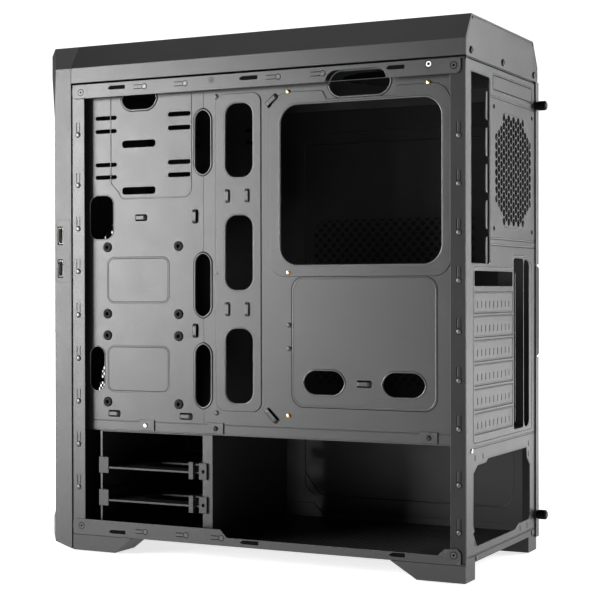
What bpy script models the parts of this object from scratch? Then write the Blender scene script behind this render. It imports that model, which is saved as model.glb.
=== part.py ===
import math

import bmesh
import bpy
from mathutils import Matrix, Vector

# ---------------------------------------------------------------- driving sizes (metres)
WIDTH = 0.1935            # open frame face to the outside of the left side panel
HEIGHT = 0.472            # floor to the crown of the top cover
CHASSIS_DEPTH = 0.390     # rear sheet to the front frame
BEZEL_DEPTH = 0.031       # front frame to the lips of the bezel
KNOB_OUT = 0.0105         # how far a thumbscrew stands behind the rear sheet
SHEET = 0.0008            # steel sheet
PLASTIC = 0.0023          # moulded wall
GAP = 0.0003              # gap between neighbouring pieces
TRAY_INSET = 0.0085       # open frame face to the motherboard tray
SLOT_PITCH = 0.02032      # expansion slots
SLOT_COVERS = 6
HEX_PITCH = 0.0076        # fan grille, centre to centre
HEX_WEB = 0.0012
KNOB_R = 0.00435
SHANK_R = 0.00175
SHANK_PLAY = 0.0005       # radial clearance around a shank
PANEL_EMBOSS = 0.0012

REF_WIDTH, REF_HEIGHT, REF_DEPTH, REF_BEZEL = 0.1935, 0.472, 0.390, 0.031
TOTAL_DEPTH = CHASSIS_DEPTH + BEZEL_DEPTH + KNOB_OUT
Y_REAR = TOTAL_DEPTH / 2 - KNOB_OUT
Y_FRONT = Y_REAR - CHASSIS_DEPTH
X_OPEN = WIDTH / 2
X_FAR = -WIDTH / 2
KZ = HEIGHT / REF_HEIGHT


def fx(mm):
    """Millimetres in from the open side, for the reference width."""
    return X_OPEN - mm * 0.001 * WIDTH / REF_WIDTH


def fy(mm):
    """Millimetres forward of the rear sheet, for the reference depth."""
    return Y_REAR - mm * 0.001 * CHASSIS_DEPTH / REF_DEPTH


def by(mm):
    """Millimetres ahead of the front frame, for the reference bezel."""
    return Y_FRONT - mm * 0.001 * BEZEL_DEPTH / REF_BEZEL


def fz(mm):
    """Millimetres above the floor, for the reference height."""
    return mm * 0.001 * KZ


# planes shared by several pieces
X_POST = X_OPEN - SHEET - GAP                 # outer face of the open-side posts
X_TRAY = X_OPEN - TRAY_INSET                  # outer face of the tray
X_LRAIL = X_FAR + PANEL_EMBOSS + SHEET + GAP  # outer face of the far rails
X_LPOST = X_LRAIL + SHEET + GAP
Z_FLOOR = fz(15.8)
Z_CEIL = fz(434.3)                            # top of the chassis roof
Z_COVER = Z_CEIL + SHEET + 3 * GAP            # lower edge of the top cover
Z_DIV = fz(112.8)                             # underside of the compartment divider

# ---------------------------------------------------------------- scene
for old in list(bpy.data.objects):
    bpy.data.objects.remove(old, do_unlink=True)

scene = bpy.context.scene
parts = bpy.data.collections.new("computer_tower")
cutters = bpy.data.collections.new("cutters")
scene.collection.children.link(parts)
scene.collection.children.link(cutters)

FINISH = {
    "steel": ((0.018, 0.018, 0.019), 0.0, 0.42),
    "plastic": ((0.022, 0.022, 0.023), 0.0, 0.5),
    "gloss": ((0.008, 0.008, 0.008), 0.0, 0.3),
    "rubber": ((0.006, 0.006, 0.006), 0.0, 0.85),
    "zinc": ((0.62, 0.62, 0.60), 1.0, 0.3),
    "brass": ((0.72, 0.52, 0.22), 1.0, 0.3),
}


def paint(ob, finish):
    colour, metallic, rough = FINISH[finish]
    mat = bpy.data.materials.new(ob.name + "_" + finish)
    mat.use_nodes = True
    shader = mat.node_tree.nodes["Principled BSDF"]
    shader.inputs["Base Color"].default_value = colour + (1.0,)
    shader.inputs["Metallic"].default_value = metallic
    shader.inputs["Roughness"].default_value = rough
    ob.data.materials.clear()
    ob.data.materials.append(mat)


# ---------------------------------------------------------------- outlines (lists of 2-D points)
def box2(a0, b0, a1, b1):
    a0, a1 = sorted((a0, a1))
    b0, b1 = sorted((b0, b1))
    return [(a0, b0), (a1, b0), (a1, b1), (a0, b1)]


def rounded(a0, b0, a1, b1, r, steps=3):
    """Rectangle between two corners with round corners."""
    a0, a1 = sorted((a0, a1))
    b0, b1 = sorted((b0, b1))
    r = min(r, (a1 - a0) * 0.49, (b1 - b0) * 0.49)
    pts = []
    for ca, cb, start in ((a1 - r, b0 + r, -90), (a1 - r, b1 - r, 0), (a0 + r, b1 - r, 90), (a0 + r, b0 + r, 180)):
        for i in range(steps + 1):
            t = math.radians(start + 90 * i / steps)
            pts.append((ca + r * math.cos(t), cb + r * math.sin(t)))
    return pts


def circle(a, b, r, n=8, turn=0.5):
    return [(a + r * math.cos(2 * math.pi * (i + turn) / n), b + r * math.sin(2 * math.pi * (i + turn) / n))
            for i in range(n)]


# ---------------------------------------------------------------- solids
def settle(bm):
    bmesh.ops.remove_doubles(bm, verts=bm.verts, dist=1e-6)
    bmesh.ops.recalc_face_normals(bm, faces=bm.faces)


def slab(plane, a, b, outlines):
    """Closed outlines filled between two positions along one axis; inner outlines are holes."""
    curve = bpy.data.curves.new("outline", "CURVE")
    curve.dimensions = "2D"
    curve.fill_mode = "BOTH"
    curve.extrude = abs(b - a) / 2
    for pts in outlines:
        spline = curve.splines.new("POLY")
        spline.points.add(len(pts) - 1)
        for point, (u, v) in zip(spline.points, pts):
            point.co = (u, v, 0.0, 1.0)
        spline.use_cyclic_u = True
    ob = bpy.data.objects.new("outline", curve)
    scene.collection.objects.link(ob)
    flat = bpy.data.meshes.new_from_object(ob.evaluated_get(bpy.context.evaluated_depsgraph_get()))
    bpy.data.objects.remove(ob, do_unlink=True)
    bm = bmesh.new()
    bm.from_mesh(flat)
    mid = (a + b) / 2
    for v in bm.verts:
        u, w, h = v.co
        v.co = {"X": (mid + h, u, w), "Y": (u, mid + h, w), "Z": (u, w, mid + h)}[plane]
    settle(bm)
    return bm


def block(x0, y0, z0, x1, y1, z1):
    bm = bmesh.new()
    size = (abs(x1 - x0), abs(y1 - y0), abs(z1 - z0))
    place = Matrix.Translation(((x0 + x1) / 2, (y0 + y1) / 2, (z0 + z1) / 2)) @ Matrix.Diagonal(size + (1.0,))
    bmesh.ops.create_cube(bm, size=1.0, matrix=place)
    return bm


def turned(profile, centre, axis, steps=16):
    """Profile of (radius, distance) pairs turned about an axis through centre."""
    bm = bmesh.new()
    along = {"X": Vector((1, 0, 0)), "Y": Vector((0, 1, 0)), "Z": Vector((0, 0, 1))}[axis]
    out = {"X": Vector((0, 0, 1)), "Y": Vector((0, 0, 1)), "Z": Vector((1, 0, 0))}[axis]
    centre = Vector(centre)
    verts = [bm.verts.new(centre + out * r + along * d) for r, d in profile]
    for u, v in zip(verts, verts[1:]):
        bm.edges.new((u, v))
    if profile[0][0] > 1e-7:
        bm.edges.new((verts[-1], verts[0]))
    bmesh.ops.spin(bm, geom=bm.verts[:] + bm.edges[:], angle=2 * math.pi, steps=steps, use_merge=True,
                   axis=along, cent=centre)
    settle(bm)
    return bm


def loft(sections):
    """Rings of equal length joined side to side and capped at both ends."""
    bm = bmesh.new()
    rings = [[bm.verts.new(p) for p in ring] for ring in sections]
    n = len(rings[0])
    for lower, upper in zip(rings, rings[1:]):
        for i in range(n):
            bm.faces.new((lower[i], lower[(i + 1) % n], upper[(i + 1) % n], upper[i]))
    bm.faces.new(rings[0])
    bm.faces.new(rings[-1])
    settle(bm)
    return bm


def joined(solids):
    out = bmesh.new()
    for bm in solids:
        mesh = bpy.data.meshes.new("piece")
        bm.to_mesh(mesh)
        bm.free()
        out.from_mesh(mesh)
        bpy.data.meshes.remove(mesh)
    return out


def node(name, bm, finish, origin=None, smooth=False):
    mesh = bpy.data.meshes.new(name)
    if origin is None:
        lo = [min(v.co[i] for v in bm.verts) for i in range(3)]
        hi = [max(v.co[i] for v in bm.verts) for i in range(3)]
        origin = [(p + q) / 2 for p, q in zip(lo, hi)]
    origin = Vector(origin)
    bmesh.ops.translate(bm, verts=bm.verts, vec=-origin)
    bm.to_mesh(mesh)
    bm.free()
    ob = bpy.data.objects.new(name, mesh)
    ob.location = origin
    parts.objects.link(ob)
    paint(ob, finish)
    if smooth:
        mesh.polygons.foreach_set("use_smooth", [True] * len(mesh.polygons))
        mesh.set_sharp_from_angle(angle=math.radians(40))
    return ob


def operate(ob, solids, kind, label):
    """Fuse solids to a piece, or cut them out of it."""
    for i, bm in enumerate(solids):
        name = "%s_%s_%02d" % (ob.name, label, i)
        mesh = bpy.data.meshes.new(name)
        bm.to_mesh(mesh)
        bm.free()
        tool = bpy.data.objects.new(name, mesh)
        tool.hide_render = True
        tool.display_type = "WIRE"
        cutters.objects.link(tool)
        mod = ob.modifiers.new(name, "BOOLEAN")
        mod.operation = kind
        mod.solver = "EXACT"
        mod.object = tool


def fuse(ob, *solids):
    operate(ob, solids, "UNION", "add")


def cut(ob, *solids):
    operate(ob, [joined(solids)], "DIFFERENCE", "cut%d" % len(ob.modifiers))


# ---------------------------------------------------------------- motherboard tray
GROMMET_AT = [(y, z) for z in (283.0, 221.3, 201.3, 139.6) for y in (355.8, 279.2)]
STANDOFF_AT = [(167.4, 416.4), (167.4, 258.4), (167.4, 133.1), (36.0, 416.4)]
GROMMET_WAIST = 0.0032
STUD_R = 0.0016
TAB_AT = (313.0, 240.5, 36.0)
TRAY_LOW = fz(114.0)
TRAY_Y = (fy(14.4) - GAP, Y_FRONT + SHEET + 4 * GAP + 0.002)


def tray_hole(y0, z0, y1, z1, r, steps=3):
    return rounded(fy(y0), fz(z0), fy(y1), fz(z1), r, steps)


holes = [
    tray_hole(302.7, 409.4, 339.2, 428.0, 0.011, 4),
    tray_hole(70.8, 409.4, 127.8, 430.6, 0.010, 4),
    tray_hole(24.4, 265.0, 175.3, 404.5, 0.014, 5),
    tray_hole(349.4, 290.6, 374.8, 330.7, 0.007, 4),
    tray_hole(359.3, 149.7, 374.8, 190.6, 0.0065, 4),
    tray_hole(113.8, 152.4, 152.6, 173.1, 0.0099, 4),
    tray_hole(39.2, 152.1, 78.0, 172.8, 0.0099, 4),
    tray_hole(303.6, 374.4, 339.2, 380.9, 0.0022, 2),
    tray_hole(303.6, 331.4, 339.2, 337.9, 0.0022, 2),
]
for z0, z1 in ((343.5, 409.0), (243.2, 309.5), (142.3, 208.7)):
    holes.append(tray_hole(202.7, z0, 230.2, z1, 0.009, 4))
for z0, z1 in ((347.3, 404.8), (219.5, 275.9), (137.7, 194.2)):
    holes.append(tray_hole(245.6, z0, 261.4, z1, 0.0079, 4))
for z in (402.8, 390.5, 359.4, 347.8):
    holes.append(tray_hole(345.3, z - 1.8, 368.6, z + 1.8, 0.0017, 2))
    holes.append(tray_hole(266.4, z - 2.0, 289.9, z + 2.0, 0.0017, 2))
holes += [circle(fy(y), fz(z), GROMMET_WAIST + GAP, 12) for y, z in GROMMET_AT]
holes += [circle(fy(y), fz(z), STUD_R + GAP, 8) for y, z in STANDOFF_AT]
holes += [circle(fy(y), fz(z), 0.0015, 6) for y, z in
          ((239.7, 416.1), (239.2, 258.6), (239.9, 133.0), (167.1, 212.3), (167.1, 191.6))]
tray = node("motherboard_tray",
            block(X_TRAY, TRAY_Y[0], TRAY_LOW, X_TRAY - SHEET, TRAY_Y[1], Z_CEIL - SHEET - GAP), "steel")
fuse(tray, *[block(X_TRAY - SHEET / 2, fy(y - 8), TRAY_LOW + 0.0004, X_TRAY + 0.0011, fy(y + 8), fz(124.0))
             for y in TAB_AT])
cut(tray, *[slab("X", X_TRAY + 0.003, X_TRAY - 0.003, [hole]) for hole in holes])

# ---------------------------------------------------------------- rear panel
FAN_X, FAN_Z = fx(122.5), fz(348.4)
FAN_HALF_X, FAN_HALF_Z, FAN_DIAG = 0.0485, 0.0475, 0.0735
SLOT_TOP = fz(252.5)
SLOT_X = (fx(20.5), fx(119.2))
COVER_HALF = 0.00885
THUMB_AT = [("upper", fz(413.5)), ("lower", fz(34.0))]
THUMB_X = fx(186.9)
REAR_LOW = fz(22.3)
REAR_HIGH = Z_CEIL


def rear_hole(x0, z0, x1, z1, r, steps=2):
    return rounded(fx(x0), fz(z0), fx(x1), fz(z1), r, steps)


openings = [rear_hole(13.0, 265.3, 57.5, 424.0, 0.0012)]
step_x = HEX_PITCH * math.cos(math.radians(30))
hex_r = (HEX_PITCH - HEX_WEB) / math.sqrt(3)
columns = int(FAN_HALF_X / step_x)
rows = int(FAN_HALF_Z / HEX_PITCH) + 1
for i in range(-columns, columns + 1):
    for j in range(-rows, rows + 1):
        dx, dz = i * step_x, (j + 0.5 * (i % 2)) * HEX_PITCH
        if abs(dz) <= FAN_HALF_Z and abs(dx) + abs(dz) <= FAN_DIAG:
            openings.append(circle(FAN_X + dx, FAN_Z + dz, hex_r, 6, 0.0))
for sx in (-1, 1):
    for sz in (-1, 1):
        openings.append(circle(FAN_X + sx * 0.0525, FAN_Z + sz * 0.0525, 0.0022, 8))
openings.append(rounded(SLOT_X[0], SLOT_TOP - 0.00635, SLOT_X[1], SLOT_TOP + 0.00635, 0.001, 1))
slot_z = [SLOT_TOP - (k + 1) * SLOT_PITCH * KZ for k in range(SLOT_COVERS)]
for z in slot_z:
    openings.append(box2(SLOT_X[0], z - COVER_HALF - GAP, SLOT_X[1], z + COVER_HALF + GAP))
openings.append(rear_hole(122.6, 118.2, 149.6, 271.0, 0.003))
openings.append(rear_hole(151.2, 118.2, 166.0, 271.0, 0.006))
psu = [(28, 96), (18, 90), (17.2, 47), (20.5, 41.6), (17.2, 40), (26, 28.5), (126.7, 28.5), (135, 32.5), (165, 32.5),
       (168, 36), (168, 82.6), (159.3, 90), (158.4, 98.9), (54.6, 99.2), (47.9, 96.2)]
openings.append([(fx(x), fz(z)) for x, z in psu])
for x, z in ((21.5, 102.5), (41.0, 102.3), (164.3, 102.0), (164.2, 92.5), (21.0, 31.5), (140.0, 27.5), (160.0, 27.5)):
    openings.append(box2(fx(x - 0.7), fz(z - 2.5), fx(x + 0.7), fz(z + 2.5)))
for _, z in THUMB_AT:
    openings.append(circle(THUMB_X, z, SHANK_R + SHANK_PLAY, 12))
rear = node("rear_panel", block(X_POST, Y_REAR, REAR_LOW, X_LPOST, Y_REAR - SHEET, REAR_HIGH), "steel")
post_low, post_high = Z_FLOOR + SHEET + GAP, Z_CEIL - SHEET - GAP
back = Y_REAR - SHEET / 2
cut(rear, *[slab("Y", Y_REAR + 0.002, Y_REAR - 0.003, [hole]) for hole in openings])
fuse(rear,
     block(X_POST, back, post_low, X_POST - SHEET, fy(14.0), post_high),
     block(X_POST - SHEET / 2, fy(14.0), post_low, X_TRAY - SHEET, fy(14.0) + SHEET, post_high),
     block(X_LPOST, back, post_low, X_LPOST + SHEET, fy(14.0), post_high),
     block(fx(120.4), back, fz(118.0), fx(120.4) - SHEET, fy(14.0), fz(262.0)),
     block(fx(150.4) + SHEET / 2, back, fz(119.0), fx(150.4) - SHEET / 2, fy(10.0), fz(270.0)))
cut(rear, block(X_OPEN, Y_REAR + 0.001, 0.0, X_FAR, Y_REAR - SHEET - GAP, REAR_LOW))

# ---------------------------------------------------------------- bottom and top rails
rail = [(388.7, 15.8), (388.7, 27.8), (386.2, 30.3), (232.0, 30.3), (225.0, 23.3), (25.0, 22.8), (19.0, 28.4),
        (8.0, 29.4), (4.8, 26.2), (4.8, 15.8)]
rail = [(fy(y), fz(z)) for y, z in rail]
bottom = node("bottom_panel", slab("Z", Z_FLOOR, Z_FLOOR + SHEET,
                                   [box2(X_OPEN, Y_REAR, X_LRAIL, Y_FRONT + SHEET + GAP)]), "steel")
fuse(bottom,
     slab("X", X_OPEN, X_OPEN - SHEET, [rail]),
     slab("X", X_LRAIL, X_LRAIL + SHEET, [rail]),
     block(X_OPEN, Y_REAR, Z_FLOOR, X_LRAIL, Y_REAR - SHEET, fz(22.0)))

rail = [(388.7, 424.0), (386.0, 421.2), (7.0, 421.2), (4.5, 424.0)]
rail = [(fy(y), fz(z)) for y, z in rail] + [(fy(4.5), Z_CEIL), (fy(388.7), Z_CEIL)]
roof_edge = Y_FRONT + SHEET + GAP
top = node("top_panel",
           slab("Z", Z_CEIL - SHEET, Z_CEIL,
                [box2(X_OPEN, Y_REAR - SHEET - GAP, X_LRAIL, roof_edge)]
                + [circle((X_OPEN + X_LRAIL) / 2, fy(y), min(0.055, (X_OPEN - X_LRAIL) * 0.3), 24)
                   for y in (95.0, 225.0)]), "steel")
fuse(top,
     slab("X", X_OPEN, X_OPEN - SHEET, [rail]),
     slab("X", X_LRAIL, X_LRAIL + SHEET, [rail]),
     block(fx(5.0), Y_REAR - SHEET - GAP, Z_CEIL - SHEET, fx(182.5), Y_REAR - 2 * SHEET - GAP, fz(447.0)))
cut(top, slab("X", X_OPEN + 0.001, X_OPEN - 0.002, [tray_hole(70.8, 409.4, 127.8, 430.6, 0.010, 4)]))

# ---------------------------------------------------------------- front frame
BAY_Z = (fz(334.6), fz(421.4))
BAY_X = (fx(15.0), fx(178.5))
front_back = Y_FRONT + SHEET
front = node("front_frame",
             slab("Y", Y_FRONT, front_back,
                  [box2(X_POST, post_low, X_LPOST, post_high),
                   rounded(BAY_X[0], BAY_Z[0], BAY_X[1], BAY_Z[1], 0.002, 1),
                   circle(0.0, fz(262.0), 0.054 * min(KZ, 1.0), 24),
                   circle(0.0, fz(140.0), 0.054 * min(KZ, 1.0), 24)]), "steel")
frame_mid = Y_FRONT + SHEET / 2
inner = X_TRAY - SHEET - GAP
fuse(front,
     block(X_POST, frame_mid, post_low, X_POST - SHEET, fy(376.3), post_high),
     block(X_LPOST, frame_mid, post_low, X_LPOST + SHEET, fy(376.3), post_high),
     block(inner, frame_mid, fz(126.0), inner - SHEET, fy(376.3), fz(330.0)))

# ---------------------------------------------------------------- top cover and its rear plate
CROWN = 13.5


def cover_outline(inset, low):
    """Chamfered arch of the top cover, pulled in by a wall thickness."""
    slope = inset * 0.62
    return [(X_OPEN - inset, low), (X_OPEN - inset, fz(450.0) - slope), (fx(CROWN) - slope, HEIGHT - inset),
            (fx(192.5 - CROWN) + slope, HEIGHT - inset), (fx(192.5) + inset, fz(450.0) - slope),
            (fx(192.5) + inset, low)]


arch = cover_outline(0.0, Z_COVER) + cover_outline(0.0015, Z_COVER)[::-1]
cover = node("top_cover", slab("Y", Y_REAR, by(0.2), [arch]), "steel")
vents = []
for row in range(9):
    for col in range(2):
        y0 = 60.0 + 16.0 * row + (38.0 if row > 4 else 0.0)
        x0 = 48.0 + 50.5 * col
        vents.append(slab("Z", HEIGHT - 0.004, HEIGHT + 0.002,
                          [rounded(fx(x0), fy(y0), fx(x0 + 45.0), fy(y0 + 7.0), 0.0034, 2)]))
cut(cover, *vents)

plate_out = cover_outline(0.0015 + GAP, Z_CEIL + SHEET + 2 * GAP)
plate = node("top_rear_plate", slab("Y", Y_REAR, Y_REAR - SHEET,
                                    [plate_out, box2(fx(15.4), fz(467.9), fx(17.4), fz(469.9)),
                                     box2(fx(175.6), fz(467.9), fx(177.6), fz(469.9))]), "steel")

# ---------------------------------------------------------------- front bezel
LIP = 31.0
SIDE_LOFT = [(0.3, 1.6), (19.0, 7.4), (19.3, 11.0), (19.3, 30.0), (19.0, 44.0), (18.8, 405.0), (18.4, 428.0),
             (17.8, 440.0), (17.6, 450.0), (0.3, 450.0)]
MID_LOFT = [(0.3, 1.6), (26.0, 7.4), (LIP - 0.6, 12.0), (LIP - 0.6, 29.0), (24.5, 44.0), (24.5, 426.0), (LIP, 445.0),
            (LIP, 465.0), (27.5, 472.0), (0.3, 472.0)]


def bezel_ring(x, profile, back_off, up, shrink):
    """One YZ ring of the bezel; shrink pulls the ring in to make the inside."""
    ring = []
    for y, z in profile:
        yy = by(y) + (shrink if y > 1.0 else back_off)
        zz = fz(z)
        zz += up if z < 225.0 else -up
        ring.append((x, yy, zz))
    return ring


def bezel_solid(shrink, back_off):
    side = shrink
    knee = shrink * 0.6
    xs = (X_OPEN - side, fx(CROWN) - knee, X_FAR + (X_OPEN - fx(CROWN)) + knee, X_FAR + side)
    up = shrink
    return loft([bezel_ring(xs[0], SIDE_LOFT, back_off, up, shrink), bezel_ring(xs[1], MID_LOFT, back_off, up, shrink),
                 bezel_ring(xs[2], MID_LOFT, back_off, up, shrink), bezel_ring(xs[3], SIDE_LOFT, back_off, up, shrink)])


bezel = node("front_bezel", bezel_solid(0.0, 0.0), "plastic")
FACE_Y = by(24.5)
GRILLE_Z = (fz(48.0), fz(328.0))
USB_Y = (by(15.6), by(10.0))
USB_AT = [fz(294.2), fz(263.5)]
USB_HALF = 0.0084
BUTTON_Y = by(14.0)
POWER_X, RESET_X, JACK_X = 0.0, 0.030, -0.030
POWER_R, RESET_R, JACK_R = 0.0065, 0.003, 0.0035
top_in, top_out = HEIGHT - 0.004, HEIGHT + 0.002
cut(bezel, bezel_solid(PLASTIC, 0.002))
cut(bezel,
    block(BAY_X[0], by(30.0), BAY_Z[0], BAY_X[1], by(18.0), BAY_Z[1]),
    block(BAY_X[0], by(30.0), GRILLE_Z[0], BAY_X[1], by(18.0), GRILLE_Z[1]),
    turned([(0, 0), (POWER_R + GAP, 0), (POWER_R + GAP, 0.006), (0, 0.006)], (POWER_X, BUTTON_Y, top_in), "Z", 20),
    turned([(0, 0), (RESET_R + GAP, 0), (RESET_R + GAP, 0.006), (0, 0.006)], (RESET_X, BUTTON_Y, top_in), "Z", 12),
    turned([(0, 0), (JACK_R + GAP, 0), (JACK_R + GAP, 0.006), (0, 0.006)], (JACK_X, BUTTON_Y, top_in), "Z", 12),
    *[block(X_OPEN + 0.002, USB_Y[0], z - USB_HALF, X_OPEN - 0.004, USB_Y[1], z + USB_HALF) for z in USB_AT])

# ---------------------------------------------------------------- bezel inserts
bars = [box2(BAY_X[0] - GAP, GRILLE_Z[0] + GAP, BAY_X[1] + GAP, GRILLE_Z[1] - GAP)]
slots = 16
pitch = (GRILLE_Z[1] - GRILLE_Z[0] - 0.012) / slots
half = (BAY_X[0] - BAY_X[1]) / 2
for i in range(slots):
    z0 = GRILLE_Z[0] + 0.006 + i * pitch
    for side in (-1, 1):
        bars.append(rounded(side * 0.004, z0 + 0.002, side * (half - 0.007), z0 + pitch - 0.002, 0.003, 2))
node("front_grille", slab("Y", FACE_Y + GAP, FACE_Y + 0.0018, bars), "steel")
bay_mid = (BAY_Z[0] + BAY_Z[1]) / 2
for label, z0, z1 in (("upper", bay_mid + GAP / 2, BAY_Z[1] - GAP), ("lower", BAY_Z[0] + GAP, bay_mid - GAP / 2)):
    cap = node("bay_cover_" + label, block(BAY_X[0] - GAP, FACE_Y + GAP, z0, BAY_X[1] + GAP, FACE_Y + 0.0026, z1),
               "plastic")
    fuse(cap, *[block(x, FACE_Y + 0.0020, z0 + 0.006, x + w, FACE_Y + 0.012, z1 - 0.006)
                for x, w in ((BAY_X[0] - GAP - 0.003, 0.0018), (BAY_X[1] + GAP + 0.0012, 0.0018))])

button_under = HEIGHT - PLASTIC - GAP
for label, x, r, z_off in (("power", POWER_X, POWER_R, 0.0), ("reset", RESET_X, RESET_R, 0.0)):
    rim = r + 0.0015
    node(label + "_button",
         turned([(0, button_under - 0.0016), (rim, button_under - 0.0016), (rim, button_under), (r, button_under),
                 (r, HEIGHT - 0.0007), (r - 0.0003, HEIGHT - 0.0004), (0, HEIGHT - 0.0004)],
                (x, BUTTON_Y, z_off), "Z", 20),
         "gloss", origin=(x, BUTTON_Y, button_under), smooth=True)

socket_back = X_OPEN - 0.0142
for i, z in enumerate(USB_AT):
    shell = node("usb_socket_%02d" % (i + 1),
                 block(X_OPEN - 0.0006, USB_Y[0] + GAP, z - 0.0073, socket_back, USB_Y[1] - GAP, z + 0.0073),
                 "zinc")
    y_in = (USB_Y[0] + GAP + 0.0004, USB_Y[1] - GAP - 0.0004)
    split = y_in[0] + 0.0012
    depth_in = X_OPEN - 0.012
    cut(shell, block(X_OPEN, split, z - 0.0069, depth_in, y_in[1], z + 0.0069))
    cut(shell, block(X_OPEN, y_in[0], z - 0.0069, X_OPEN - 0.0026, split + 0.0002, z + 0.0069))

# ---------------------------------------------------------------- left side panel
PANEL_Y = (Y_REAR + GAP + SHEET, Y_FRONT + 0.0015)
PANEL_Z = (fz(13.3), Z_CEIL + GAP + SHEET)
base_out = X_FAR + PANEL_EMBOSS
panel = node("side_panel_left",
             block(base_out, PANEL_Y[0], PANEL_Z[0], base_out + SHEET, PANEL_Y[1], PANEL_Z[1]), "steel",
             origin=(base_out + SHEET / 2, (PANEL_Y[0] + PANEL_Y[1]) / 2, (PANEL_Z[0] + PANEL_Z[1]) / 2))
fold_in = fx(183.6)
raised = (fy(22.0), fz(37.0), fy(243.0), fz(399.5))
fuse(panel,
     slab("X", X_FAR, base_out + SHEET / 2, [rounded(*raised, 0.016, 4)]),
     slab("Y", PANEL_Y[0], PANEL_Y[0] - SHEET,
          [box2(base_out, PANEL_Z[0], fold_in, PANEL_Z[1])]
          + [circle(THUMB_X, z, SHANK_R + SHANK_PLAY, 12) for _, z in THUMB_AT]),
     block(base_out + SHEET / 2, PANEL_Y[0] - SHEET / 2, PANEL_Z[1] - SHEET, fx(184.5), PANEL_Y[1], PANEL_Z[1]),
     block(base_out + SHEET / 2, PANEL_Y[0] - SHEET / 2, PANEL_Z[0], fx(190.6), PANEL_Y[1], PANEL_Z[0] + SHEET))
cut(panel,
    slab("X", base_out, base_out + 0.003,
         [rounded(raised[0] - 0.001, raised[1] + 0.001, raised[2] + 0.001, raised[3] - 0.001, 0.015, 4)]))
cut(panel,
    block(X_FAR - 0.001, PANEL_Y[0] + 0.001, fz(180.0), fold_in + 0.001, PANEL_Y[0] - SHEET - 0.0002, fz(266.4)))
cut(panel,
    block(X_FAR - 0.001, PANEL_Y[0], fz(180.0), base_out + SHEET + 0.0002, PANEL_Y[0] - 0.0072, fz(266.4)))

slant = 0.003
grip_x = (X_FAR + 0.0001, fold_in)
grip_y = (PANEL_Y[0] - 0.0001, PANEL_Y[0] - SHEET + 0.0001)
grip_z = (fz(180.0) + GAP, fz(266.4) - GAP)
grip = node("side_panel_grip",
            slab("Y", grip_y[0], grip_y[1],
                 [[(grip_x[0], grip_z[0] + slant), (grip_x[1], grip_z[0]), (grip_x[1], grip_z[1]),
                   (grip_x[0], grip_z[1] - slant)]]), "gloss")
fuse(grip, slab("X", grip_x[0], base_out + SHEET - 0.0001,
                [[(grip_y[0] - 0.0002, grip_z[0] + slant), (grip_y[0] - 0.0002, grip_z[1] - slant),
                  (PANEL_Y[0] - 0.0069, grip_z[1] - 0.008), (PANEL_Y[0] - 0.0069, grip_z[0] + 0.008)]]))

# ---------------------------------------------------------------- captive thumbscrews
COLLAR = 0.0012
SHANK_REACH = 0.006    # ahead of the rear sheet's outer face
SHANK_GRIP = 0.0045    # depth of the shank's seat in the moulded knob
for label, z in THUMB_AT:
    face = PANEL_Y[0] + GAP
    tip = Y_REAR + KNOB_OUT
    node("thumbscrew_collar_" + label,
         turned([(SHANK_R + GAP, 0), (KNOB_R - 0.0005, 0), (KNOB_R - 0.0005, COLLAR), (SHANK_R + GAP, COLLAR)],
                (THUMB_X, face, z), "Y", 20), "gloss", origin=(THUMB_X, face, z), smooth=True)
    head = face + COLLAR + GAP
    teeth = 20
    rim = []
    for i in range(teeth * 2):
        r = KNOB_R if i % 2 else KNOB_R - 0.00035
        rim.append((THUMB_X + r * math.cos(math.pi * i / teeth), z + r * math.sin(math.pi * i / teeth)))
    knob = node("thumbscrew_knob_" + label, slab("Y", head, tip - 0.0008, [rim]), "gloss",
                origin=(THUMB_X, head, z))
    fuse(knob,
         turned([(0, 0), (KNOB_R - 0.0007, 0), (KNOB_R - 0.0011, 0.0014), (0, 0.0014)],
                (THUMB_X, tip - 0.0014, z), "Y", 20))
    cut(knob,
        turned([(0, 0), (SHANK_R + GAP, 0), (SHANK_R + GAP, SHANK_GRIP + 0.001), (0, SHANK_GRIP + 0.001)],
               (THUMB_X, head - 0.001, z), "Y", 12))
    shank = head + SHANK_GRIP - GAP - (Y_REAR - SHANK_REACH)
    node("thumbscrew_shank_" + label,
         turned([(0, 0), (SHANK_R - 0.0006, 0), (SHANK_R, 0.0007), (SHANK_R, shank), (0, shank)],
                (THUMB_X, Y_REAR - SHANK_REACH, z), "Y", 12), "zinc", smooth=True)

# ---------------------------------------------------------------- compartment divider, drive cage and bay bracket
div_right = X_TRAY - SHEET - GAP
divider = node("psu_shroud",
               slab("Z", Z_DIV, Z_DIV + SHEET,
                    [box2(div_right, Y_REAR - SHEET - GAP, fx(186.0), Y_FRONT + 2 * SHEET + 0.003),
                     rounded(fx(30.0), fy(70.0), fx(150.0), fy(92.0), 0.005, 3),
                     rounded(fx(150.0), fy(170.0), fx(172.0), fy(215.0), 0.005, 3)]), "steel")
fuse(divider,
     block(div_right, fy(16.0), Z_DIV, div_right - SHEET, Y_FRONT + 2 * SHEET + 0.012, fz(122.0)),
     block(fx(14.0), Y_REAR - SHEET - GAP, Z_DIV + SHEET / 2, fx(186.0), Y_REAR - 2 * SHEET - GAP, fz(106.5)))

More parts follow.
